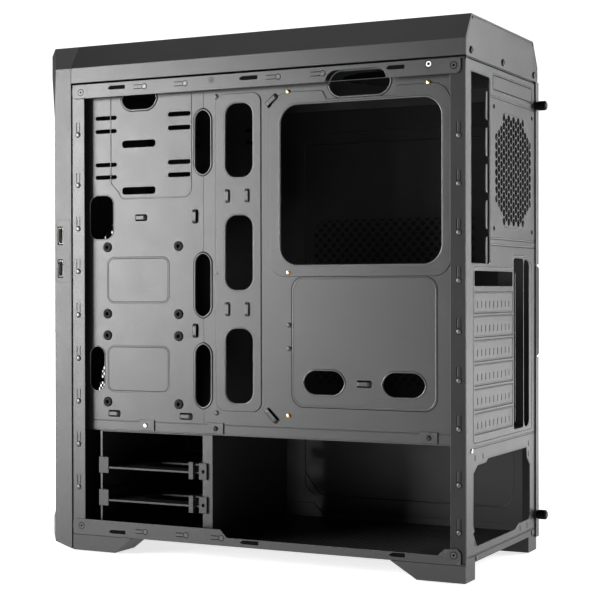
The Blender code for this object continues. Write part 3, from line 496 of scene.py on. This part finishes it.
def tie_loop(name, face, u, v, length, width, rise, lean, material, thick=0.9, **fixing):
    """A lanced bridge of sheet with a slot behind it, the slot a flat patch of painted shade, for a cable tie."""
    half = length / 2
    arch = [(-half, -0.4), (-half + 1.4, rise * 0.75), (-half + 3.0, rise), (half - 3.0, rise),
            (half - 1.4, rise * 0.75), (half, -0.4)]
    built = bmesh.new()
    rows = []
    for across in (-width / 2, width / 2):
        rows.append([built.verts.new((a * MM, across * MM, b * MM)) for a, b in arch])
    for first, second, third, fourth in zip(rows[0], rows[0][1:], rows[1][1:], rows[1]):
        built.faces.new((first, second, third, fourth))
    piece = bpy.data.objects.new(name, mesh_data(name, built))
    shell = piece.modifiers.new("sheet", "SOLIDIFY")
    shell.thickness = thick * MM
    soft = piece.modifiers.new("soft", "BEVEL")
    soft.width = 0.25 * MM
    soft.segments = 2
    spin = Matrix.Rotation(math.radians(lean), 4, "Z")
    piece.matrix_world = face @ Matrix.Translation((u * MM, v * MM, 0)) @ spin
    fasten(piece, material, **fixing)
    slot_lines = [oblong(-half + 0.6, -width / 2 - 1.3, half - 0.6, width / 2 + 1.3, 1.0, 3)]
    return pressed_field(name + "_slot", face @ Matrix.Translation((u * MM, v * MM, 0)) @ spin, slot_lines, 0.1, 0.0,
                         painted_shadow_coat, sunk=0.2, **fixing)


loops = [(-228.0, 326.8, 13.6, 90), (-208.1, 326.8, 13.6, 90), (-228.0, 226.0, 14.0, 90), (-208.1, 226.0, 14.0, 90),
         (-261.6, 309.5, 13.4, 90), (-261.6, 206.5, 13.4, 90), (-319.0, 309.6, 13.5, 0), (-348.7, 128.9, 13.7, 0),
         (-271.7, 128.8, 14.0, 0), (-95.4, 162.5, 14.7, 0), (-183.5, 409.4, 15.1, 39), (-184.0, 132.5, 16.6, -45)]
for count, (u, v, length, lean) in enumerate(loops, 1):
    tie_loop("tray_tie_loop_%02d" % count, tray_face, u, v, length, 3.6, 2.3, lean, chassis_steel)

# ------------------------------------------------------------------ screws and rivets
# Pan-head machine screws hold the frame and the tray tabs. Heads are turned steel with a pressed cross, most of
# them black; the frame corners use low domed rivets.
black_screw = coated("black_screw", (0.018, 0.018, 0.018), (0.2, 0.2, 0.2), 2400.0, 0.3, 0.9, 0.0004, 0.2, 0.6, 0.6)
zinc = coated("zinc_plate", (0.58, 0.57, 0.54), (0.75, 0.75, 0.73), 1700.0, 0.28, 0.5, 0.0004, 0.25, 0.5, 1.0)
brass = coated("turned_brass", (0.70, 0.52, 0.24), (0.85, 0.70, 0.40), 1700.0, 0.26, 0.5, 0.0004, 0.2, 0.5, 1.0)


def head_mesh(name, radius, height, crossed):
    """A turned head with its face pressed down along a cross."""
    rings = [(1.0, -0.2), (1.0, 0.35), (0.92, 0.62), (0.78, 0.80), (0.60, 0.92), (0.40, 0.98), (0.22, 1.0),
             (0.10, 1.0)]
    steps = 32
    built = bmesh.new()
    made = []
    for r, z in rings:
        ring = []
        for k in range(steps):
            turned = 2 * math.pi * k / steps
            near = min(k % 8, 8 - k % 8)
            drop = 0.62 if crossed and r < 0.65 and (near == 0 or r < 0.3) else 0.0
            ring.append(built.verts.new((radius * r * math.cos(turned) * MM, radius * r * math.sin(turned) * MM,
                                         height * (z - drop) * MM)))
        made.append(ring)
    for inner, outer in zip(made[1:], made):
        for k in range(steps):
            built.faces.new((outer[k], outer[(k + 1) % steps], inner[(k + 1) % steps], inner[k]))
    built.faces.new(made[-1])
    data = mesh_data(name, built)
    for face in data.polygons:
        face.use_smooth = True
    return data


screw_head = head_mesh("screw_head", 3.1, 1.7, True)
small_head = head_mesh("small_screw_head", 2.2, 1.2, True)
rivet_head = head_mesh("rivet_head", 2.3, 0.9, False)


def screw(name, face, u, v, head, material, turned=20.0, **fixing):
    data = head.copy()
    data.materials.append(material)
    piece = bpy.data.objects.new(name, data)
    piece.matrix_world = (face @ Matrix.Translation((u * MM, v * MM, 0))
                          @ Matrix.Rotation(math.radians(turned), 4, "Z"))
    return fasten(piece, material, **fixing)


for count, u in enumerate((-314.0, -240.5, -36.0), 1):
    screw("tray_tab_screw_%d" % count, side_face(7.3), u, 119.0, small_head, zinc if count == 1 else black_screw,
          17.0 * count)
for count, (u, v) in enumerate(((-239.7, 416.1), (-239.2, 258.6), (-239.9, 133.0), (-167.1, 212.3),
                                (-167.1, 191.6)), 1):
    screw("tray_rivet_%d" % count, tray_face, u, v, rivet_head, chassis_steel)

# ------------------------------------------------------------------ side rails and posts
# The two rails are the folded lips of the roof and floor, the posts those of the front frame and rear sheet.
# Lanced hooks and tapered slots along them catch the removed side cover.
rail_face = side_face(0.0)
post_face = side_face(1.1)


FLUSH = 0.05
CUT_WIDE = 0.6
DIMPLE = 2.1


def lance(name, face, u, v, width, tall, domed=True, lean=0.0):
    """A tongue freed by two cuts in the sheet, with a round dimple pressed at its root; the cuts and the ring round
    the dimple are flat lines of painted shade, the ridge and the dimple painted highlights.
    """
    place = face @ Matrix.Translation((u * MM, v * MM, 0)) @ Matrix.Rotation(math.radians(lean), 4, "Z")
    half_cut = CUT_WIDE / 2
    cuts = [oblong(middle - half_cut, 2.6, middle + half_cut, tall, 0.2, 2) for middle in (-width / 2, width / 2)]
    pressed_field(name + "_cuts", place, cuts + [round_hole(0, 0, DIMPLE + CUT_WIDE), round_hole(0, 0, DIMPLE)], FLUSH,
                  0.0, painted_shadow_coat)
    ridge = 0.8 - width / 2
    pressed_field(name + "_ridge", place, [oblong(ridge - 0.3, 3.2, ridge + 0.3, tall - 0.3, 0.2, 2)], FLUSH, 0.0,
                  painted_highlight_steel)
    if domed:
        return screw(name, place, 0.0, 0.0, rivet_head, painted_highlight_steel)
    return pressed_field(name, place, [round_hole(0, 0, DIMPLE)], FLUSH, 0.0, painted_highlight_steel)


front_lances = (388, 341, 300.5, 260.7, 220.1, 179.9, 139.8, 99.8, 59.7)
rear_lances = (370.2, 330.5, 290.4, 250.7, 208.6, 168, 127.8, 81.8, 42.6)
for count, v in enumerate(front_lances, 1):
    lance("front_post_lance_%d" % count, post_face, -383.3, v, 3.6, 11.5)
for count, v in enumerate(rear_lances, 1):
    lance("rear_post_lance_%d" % count, post_face, -6.6, v, 3.6, 11.5)
for count, u in enumerate((-316.0, -273.0, -179.0, -136.0), 1):
    lance("roof_rail_hook_%d" % count, rail_face, u + 6.0, 428.7, 3.4, 11.5, domed=False, lean=90.0)
for count, u in enumerate((-316.0, -273.0, -236.7), 1):
    lance("floor_rail_hook_%d" % count, rail_face, u + 6.0, 22.6, 3.2, 10.5, domed=False, lean=90.0)


def tapered_slot(u0, u1, v):
    return outline([(u0, v - 0.5), (u0 + 3.5, v - 1.7), (u1, v - 1.7), (u1, v + 1.7), (u0 + 3.5, v + 1.7)], 0.6, 2)


roof_slots = [tapered_slot(u0, u1, 429.5) for u0, u1 in ((-350, -331), (-212.5, -193.4), (-71.7, -54.3))]
floor_slots = [tapered_slot(u0, u1, 20.5) for u0, u1 in ((-350, -331.5), (-212.4, -193.3), (-69.7, -54.4))]
# The tapered slots are flat patches of painted shade, ringed by rims.
pressed_field("rail_slots_dark", rail_face, roof_slots + floor_slots, FLUSH, 0.0, painted_shadow_coat)
bead("rail_slot_rims", rail_face, roof_slots + floor_slots, 0.6, chassis_steel, depth=0.55)


def flush_rivet(name, u, v, radius, material):
    """A hollow rivet set flush in the rail: its dish and its open middle in painted shade, and its rim."""
    middle = radius * 0.36
    pressed_field(name + "_dish", rail_face, [round_hole(u, v, radius), round_hole(u, v, radius * 0.78),
                                              round_hole(u, v, middle)], FLUSH, 0.0, painted_shadow_coat)
    return pressed_field(name, rail_face, [round_hole(u, v, radius * 0.78), round_hole(u, v, middle)], FLUSH, 0.0,
                         material)


# Most rivet rims take the paler coat as a painted highlight; the third is zinc.
for count, (u, v) in enumerate(((-379.6, 427.0), (-239.8, 430.0), (-32.6, 430.4), (-10.5, 427.8), (-379.6, 24.0),
                                (-10.9, 23.9)), 1):
    flush_rivet("rail_rivet_%d" % count, u, v, 2.4 if count == 2 else 3.2, zinc if count == 3 else painted_highlight_steel)
for name, u0, u1, v0, v1 in (("front_top", -389.2, -372.0, 421.6, 434.0), ("rear_top", -17.5, -4.8, 421.6, 434.0),
                             ("front_low", -389.2, -372.0, 17.5, 29.6), ("rear_low", -18.5, -4.9, 16.4, 28.2)):
    bead("rail_end_tab_" + name, rail_face, [oblong(u0, v0, u1, v1, 4.0, 5)], 0.6, chassis_steel, depth=0.55)
for name, face, edge_line, radius in (
        ("rear_post_inner_edge", post_face, line((-13.9, 30.0), (-13.9, 421.0)), 0.45),
        ("front_post_inner_edge", post_face, line((-376.5, 30.5), (-376.5, 421.0)), 0.45),
        ("roof_rail_lip", rail_face, line((-385.5, 421.45), (-7.5, 421.45)), 0.4),
        ("floor_rail_lip", rail_face, line((-385.8, 30.0), (-232.0, 30.0), (-225.0, 23.1), (-25.0, 22.6),
                                           (-19.0, 28.2), (-8.0, 29.2)), 0.4)):
    bead(name, face, [edge_line], radius, chassis_steel, depth=0.35, closed=False)

# ------------------------------------------------------------------ rear sheet
# The back wall carries the connector opening, the fan grille and the card slots. Creases stiffen it, the slot
# surround stands proud, and screws and rivets join it to the roof plate and the floor.
back_face = rear_face(0.0)
# Each embossing and crease is a paler line of painted highlight over a dark line of painted shade at its foot; the
# edge lines are painted highlights and the gaps along the cover and far edge painted shade.
for name, inset, material in (("rear_upper_embossing", 0.0, painted_highlight_steel), ("rear_upper_embossing_foot", 1.4, painted_shadow_coat)):
    corners = [(66.0 + inset, 414.0 + inset), (176.0 - inset, 414.0 + inset), (176.0 - inset, 429.0 - inset),
               (66.0 + inset, 429.0 - inset)]
    bead(name, back_face, [outline(corners, 2.0)], 0.5, material, depth=0.3)
creases = [[(60.0, 409.4), (186.0, 409.4)], [(60.0, 287.7), (186.0, 287.7)], [(60.0, 282.3), (186.0, 282.3)],
           [(18.0, 111.8), (186.0, 111.8)], [(6.0, 22.6), (188.0, 22.6)]]
for count, ends in enumerate(creases, 1):
    bead("rear_crease_%d" % count, back_face, [line(*ends)], 0.45, painted_highlight_steel, depth=0.25, closed=False)
    below = line(*((u, v - 1.3) for u, v in ends))
    bead("rear_crease_foot_%d" % count, back_face, [below], 0.5, painted_shadow_coat, depth=0.42, closed=False)
bead("rear_cover_gap", back_face, [line((3.0, 433.9), (190.5, 433.9))], 0.8, painted_shadow_coat, depth=0.6, closed=False)
for name, u in (("rear_corner_edge", 0.9), ("rear_far_edge", 187.2)):
    bead(name, back_face, [line((u, 20.0), (u, 432.0))], 0.45, painted_highlight_steel, depth=0.22, closed=False)
bead("rear_far_gap", back_face, [line((188.3, 22.0), (188.3, 431.0))], 0.6, painted_shadow_coat, depth=0.45, closed=False)
# The slot surround, the connector fold and the grille rim take the paler coat: painted highlights.
bead("rear_slot_surround", back_face, [outline([(17.8, 114.6), (174.0, 114.6), (174.0, 266.0), (150.0, 273.5),
                                               (122.0, 273.5), (119.0, 262.0), (17.8, 262.0)], 3.0)],
     0.7, painted_highlight_steel, depth=0.35)
bead("rear_connector_rim", back_face, [oblong(12.4, 264.7, 58.1, 424.6, 1.6, 3)], 0.5, chassis_steel, depth=0.3)
bead("rear_connector_fold", back_face, [line((59.6, 266.0), (59.6, 423.5))], 0.9, painted_highlight_steel, depth=0.3, closed=False)
for count, v in enumerate((276.0, 307.0, 338.0, 369.0, 400.0), 1):
    tab = [outline([(52.6, v - 11.5), (58.2, v - 12.5), (58.2, v + 12.5), (52.6, v + 11.5)], 0.8, 2)]
    pressed_field("rear_connector_tab_%d" % count, rear_face(-1.6), tab, 0.5, 0.3, chassis_steel)
bead("rear_grille_rim", back_face, [outline([(72.5, 330.0), (97.0, 297.5), (147.0, 297.5), (172.5, 325.0),
                                            (172.5, 372.0), (148.0, 398.0), (97.0, 398.0), (72.5, 368.0)], 5.0)],
     0.4, painted_highlight_steel, depth=0.28)
for count, (u, v) in enumerate(((12.4, 441.3), (93.0, 441.3), (180.5, 441.3)), 1):
    screw("roof_plate_screw_%d" % count, back_face, u, v, screw_head, black_screw, 30.0 * count)
for count, (u, v) in enumerate(((24.5, 18.6), (174.9, 18.2)), 1):
    screw("rear_rivet_%d" % count, back_face, u, v, rivet_head, chassis_steel)
screw("rear_supply_screw", back_face, 13.4, 109.0, small_head, zinc, 10.0)
bead("supply_opening_rim", back_face,
     [outline([(27.0, 97.0), (16.9, 91.0), (16.2, 47.0), (19.4, 41.6), (16.2, 40.0), (25.6, 27.5), (127.2, 27.5),
               (135.2, 31.5), (165.6, 31.5), (169.0, 35.6), (169.0, 83.0), (160.2, 90.6), (159.2, 99.9),
               (54.3, 100.2), (47.5, 97.2)], 1.0, 2)], 0.4, chassis_steel, depth=0.28)

# ------------------------------------------------------------------ expansion slot covers
# Six plain steel blanks close the lower card slots, each pierced by a row of short vents and held by a small
# zinc screw at the inner end.
cover_steel = coated("slot_cover_steel", (0.026, 0.026, 0.027), (0.16, 0.16, 0.16), 1100.0, 0.38, 0.7, 0.0006, 0.25)
for count in range(1, 7):
    finish("slot_cover_%02d" % count, cover_steel)
    finish("slot_screw_%02d" % count, zinc)
    low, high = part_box("slot_cover_%02d" % count)
    mid = (low.z + high.z) / 2 / MM
    left = (open_x - high.x) / MM
    right_end = (open_x - low.x) / MM
    lip = [line((left + 0.8, mid + side * 7.9), (right_end - 0.8, mid + side * 7.9)) for side in (-1, 1)]
    bead("slot_cover_lip_%02d" % count, rear_face(-0.2), lip, 0.5, cover_steel, depth=0.28, closed=False)
    screw("slot_catch_%02d" % count, rear_face(-4.0), right_end + 3.4, mid + 6.5, rivet_head, zinc)
# A painted highlight along the edge of the slot channel.
channel_line = line((right_end + 14.0, 124.0), (right_end + 14.0, 258.0))
bead("slot_channel_edge", rear_face(-2.5), [channel_line], 0.7, painted_highlight_steel, depth=0.1, closed=False)

# ------------------------------------------------------------------ left side cover
# A single sheet with a raised field, still fitted. A block of staggered round vents is pierced through its
# front half, and a moulded grip fills the notch in its rear fold.


def vent_group():
    """Solid is 1 on metal and 0 inside a round hole of a staggered pattern within the given limits."""
    group, ins, outs = group_tree(
        "staggered_piercing",
        [("U", "Float", 0.0), ("V", "Float", 0.0), ("Pitch U", "Float", 0.0095), ("Pitch V", "Float", 0.01008),
         ("Radius", "Float", 0.0025), ("U Low", "Float", 0.0), ("U High", "Float", 1.0), ("V Low", "Float", 0.0),
         ("V High", "Float", 1.0), ("Corner", "Float", 10.0)],
        [("Solid", "Float")])
    u, v = ins.outputs["U"], ins.outputs["V"]
    pitch_u, pitch_v = ins.outputs["Pitch U"], ins.outputs["Pitch V"]
    nearest = None
    for shift in (0.0, 0.5):
        cells = []
        for along, pitch in ((u, pitch_u), (v, pitch_v)):
            cell = calc(group, "ADD", calc(group, "DIVIDE", along, pitch), shift + 100.0)
            cell = calc(group, "SUBTRACT", calc(group, "FRACT", cell), 0.5)
            cells.append(calc(group, "MULTIPLY", cell, pitch))
        away = calc(group, "SQRT", calc(group, "ADD", calc(group, "MULTIPLY", cells[0], cells[0]),
                                        calc(group, "MULTIPLY", cells[1], cells[1])))
        nearest = away if nearest is None else calc(group, "MINIMUM", nearest, away)
    hole = calc(group, "LESS_THAN", nearest, ins.outputs["Radius"])
    for along, low, high in ((u, "U Low", "U High"), (v, "V Low", "V High")):
        hole = calc(group, "MULTIPLY", hole, calc(group, "GREATER_THAN", along, ins.outputs[low]))
        hole = calc(group, "MULTIPLY", hole, calc(group, "LESS_THAN", along, ins.outputs[high]))
    hole = calc(group, "MULTIPLY", hole,
                calc(group, "GREATER_THAN", calc(group, "SUBTRACT", u, v), ins.outputs["Corner"]))
    group.links.new(calc(group, "SUBTRACT", 1.0, hole), outs.inputs["Solid"])
    return group


piercing = vent_group()


def pierce(material, across, upward, cloth=None, **sizes):
    """Cuts a field of vents out of a coated sheet, open or backed by filter cloth, laid along two axes."""
    tree = material.node_tree
    vents = tree.nodes.new("ShaderNodeGroup")
    vents.node_tree = piercing
    split = tree.nodes.new("ShaderNodeSeparateXYZ")
    tree.links.new(tree.nodes.new("ShaderNodeTexCoord").outputs["Object"], split.inputs[0])
    tree.links.new(split.outputs[across], vents.inputs["U"])
    tree.links.new(split.outputs[upward], vents.inputs["V"])
    for title, value in sizes.items():
        vents.inputs[title.replace("_", " ")].default_value = value
    skin = next(n for n in tree.nodes if n.type == "BSDF_PRINCIPLED")
    if cloth is None:
        tree.links.new(vents.outputs["Solid"], skin.inputs["Alpha"])
        return material
    was = skin.inputs["Base Color"].links[0].from_socket
    tree.links.new(blend_colour(tree, vents.outputs["Solid"], (*cloth, 1.0), was), skin.inputs["Base Color"])
    was = skin.inputs["Roughness"].links[0].from_socket
    gloss = calc(tree, "MULTIPLY", vents.outputs["Solid"], calc(tree, "SUBTRACT", 1.0, was))
    tree.links.new(calc(tree, "SUBTRACT", 1.0, gloss), skin.inputs["Roughness"])
    return material


side_cover_coat_shaded_inside = coated("side_cover_steel_painted_shade", (0.024, 0.024, 0.025), (0.12, 0.12, 0.12), 1200.0, 0.40, 0.4, 0.0006, 0.28)
vent_front = rear_y - 232.0 * MM
pierce(side_cover_coat_shaded_inside, "Y", "Z", (0.05, 0.05, 0.052), U_Low=vent_front, U_High=rear_y - 62.0 * MM, V_Low=0.150,
       V_High=0.3125, Corner=vent_front - 0.3035)
# The inside of the cover, from just above the shroud upwards, gets painted shade.
finish("side_panel_left", paint_shade_inside(side_cover_coat_shaded_inside, (0.003, 0.003, 0.003, 1.0), above=0.118))
inner_face = side_face(191.8)
left_border = outline([(-242.0, 60.0), (-225.0, 37.5), (-26.0, 37.5), (-23.0, 60.0), (-23.0, 399.0), (-242.0, 399.0)],
                      9.0, 5)
bead("side_cover_inner_border", inner_face, [left_border], 0.8, side_cover_coat_shaded_inside, depth=0.3, body="side_panel_left")
bead("side_cover_inner_crease", inner_face, [line((-236.0, 388.0), (-28.0, 388.0))], 0.5, side_cover_coat_shaded_inside, depth=0.2,
     closed=False, body="side_panel_left")

# ------------------------------------------------------------------ roof cover and floor
# The chamfered roof cover is rolled sheet over the roof pressing. The floor is a tray with a pierced area under
# the power supply, so air can be drawn in from below.
# The roof cover's coat is darker than the chassis coat: painted shade.
roof_steel_painted_darker = coated("roof_cover_steel_painted_shade", (0.014, 0.014, 0.015), (0.10, 0.10, 0.10), 1200.0, 0.36, 0.4, 0.0008, 0.25)
finish("top_cover", roof_steel_painted_darker)
floor_steel = coated("floor_steel", (0.022, 0.022, 0.023), (0.12, 0.12, 0.12), 1100.0, 0.45, 0.5, 0.0006, 0.3)
pierce(floor_steel, "X", "Y", (0.004, 0.004, 0.004), Radius=0.0021, Pitch_U=0.0090, Pitch_V=0.0090,
       U_Low=open_x - 0.161, U_High=open_x - 0.015, V_Low=rear_y - 0.157, V_High=rear_y - 0.058, Corner=-10.0)
finish("bottom_panel", floor_steel)

# ------------------------------------------------------------------ front bezel
# The nose of the case is one ABS moulding with a fine spark-eroded texture, clipped to the front frame. It holds
# two bay covers, a steel grille and, on its side, a pair of sockets.
bezel_plastic = coated("bezel_plastic", (0.030, 0.030, 0.031), (0.07, 0.07, 0.07), 1600.0, 0.38, 0.35, 0.0009, 0.40)
for name in ("front_bezel", "bay_cover_upper", "bay_cover_lower"):
    finish(name, bezel_plastic)
grille_steel = coated("grille_steel", (0.018, 0.018, 0.018), (0.1, 0.1, 0.1), 1100.0, 0.45, 0.4, 0.0005, 0.3)
finish("front_grille", grille_steel)
# The seam round the socket panel is a thin line of painted shade.
bead("socket_panel_line", side_face(0.02), [oblong(-406.8, 250.7, -391.6, 309.0, 1.6, 4)], 0.16, painted_shadow_coat, depth=0.1)
bead("socket_rims", side_face(0.0), [oblong(-405.7, z - 8.6, -399.9, z + 8.6, 0.7, 3) for z in (294.2, 263.5)], 0.25,
     bezel_plastic, depth=0.2)

mesh_steel = coated("filter_mesh", (0.03, 0.03, 0.03), (0.1, 0.1, 0.1), 1100.0, 0.5, 0.3, 0.0003, 0.2)
pierce(mesh_steel, "X", "Y", Radius=0.00155, Pitch_U=0.0056, Pitch_V=0.0056, U_Low=-1.0, U_High=1.0, V_Low=-1.0,
       V_High=1.0, Corner=-10.0)
pressed_field(
    "front_filter_mesh", Matrix(((-1, 0, 0, open_x), (0, 0, 1, rear_y - 391.5 * MM), (0, 1, 0, 0), (0, 0, 0, 1))),
    [oblong(16.0, 50.0, 177.0, 326.0, 4.0)], 0.3, 0.0, mesh_steel)

# ------------------------------------------------------------------ sockets, buttons and their board
# Two upright sockets with tinned shells sit in the side of the bezel, in front of a small green board that the
# scene adds. The power and reset buttons and the headphone jack are in the bezel's crown.
socket_shell = coated("socket_shell", (0.22, 0.22, 0.21), (0.7, 0.7, 0.7), 1700.0, 0.3, 0.4, 0.0003, 0.2, 0.5, 1.0)
gloss_black = coated("gloss_black", (0.010, 0.010, 0.010), (0.05, 0.05, 0.05), 1400.0, 0.22, 0.4, 0.0005, 0.12)
solder_mask = coated("solder_mask", (0.010, 0.055, 0.022), (0.05, 0.12, 0.06), 1500.0, 0.3, 0.4, 0.0004, 0.15)
for name in ("usb_socket_01", "usb_socket_02"):
    finish(name, socket_shell)
for name in ("power_button", "reset_button"):
    finish(name, gloss_black)
board = bmesh.new()
bmesh.ops.create_cube(board, size=1.0)
bmesh.ops.scale(board, verts=board.verts, vec=(0.0016, 0.0145, 0.060))
bmesh.ops.bevel(board, geom=board.edges[:], offset=0.0003, segments=1, affect="EDGES")
board_piece = bpy.data.objects.new("socket_board", mesh_data("socket_board", board))
board_piece.location = (open_x - 15.3 * MM, rear_y - 400.25 * MM, 279.0 * MM)
fasten(board_piece, solder_mask)
jack_face = Matrix.Translation((-30.0 * MM, rear_y - 404.0 * MM, 471.0 * MM))
jack_rings = [[Vector((radius * math.cos(k * math.pi / 12), radius * math.sin(k * math.pi / 12), 0.0)) * MM
               for k in range(24)] for radius in (2.9, 2.4)]
bead("headphone_jack", jack_face, jack_rings, 0.55, gloss_black, depth=0.4)
bead("headphone_jack_barrel", jack_face, [line((0, 0, -8.0), (0, 0, -3.0))], 3.2, gloss_black, closed=False)

# ------------------------------------------------------------------ drive cage and trays
# A folded steel cage stands on the floor by the front frame and holds two moulded caddies, each with a sprung
# latch that is squeezed to draw it out.
caddy_plastic = coated("caddy_plastic", (0.020, 0.020, 0.020), (0.07, 0.07, 0.07), 1500.0, 0.48, 0.4, 0.0006, 0.35)
for name in ("hdd_tray_upper", "hdd_tray_lower"):
    finish(name, caddy_plastic)

# ------------------------------------------------------------------ feet, grommets, standoffs and thumbscrews
# Moulded feet are screwed under the floor over rubber pads. Rubber grommets wait for small drives, and two
# captive thumbscrews with straight knurling hold the left cover.
rubber = coated("black_rubber", (0.010, 0.010, 0.010), (0.03, 0.03, 0.03), 1300.0, 0.75, 0.3, 0.0006, 0.3, 0.3)
foot_plastic = coated("foot_plastic", (0.020, 0.020, 0.020), (0.07, 0.07, 0.07), 1300.0, 0.5, 0.4, 0.0009, 0.4)
knob_plastic = coated("knob_black", (0.005, 0.005, 0.005), (0.03, 0.03, 0.03), 1500.0, 0.5, 0.4, 0.0004, 0.2, 0.2)
finish("side_panel_grip", knob_plastic)
for name in shown:
    if name.startswith("foot_pad") or name.startswith("ssd_grommet"):
        finish(name, rubber)
    elif name.startswith("foot_"):
        finish(name, foot_plastic)
    elif name.startswith("standoff"):
        finish(name, brass)
    elif name.startswith("thumbscrew_shank"):
        finish(name, zinc)
    elif name.startswith("thumbscrew"):
        finish(name, knob_plastic)
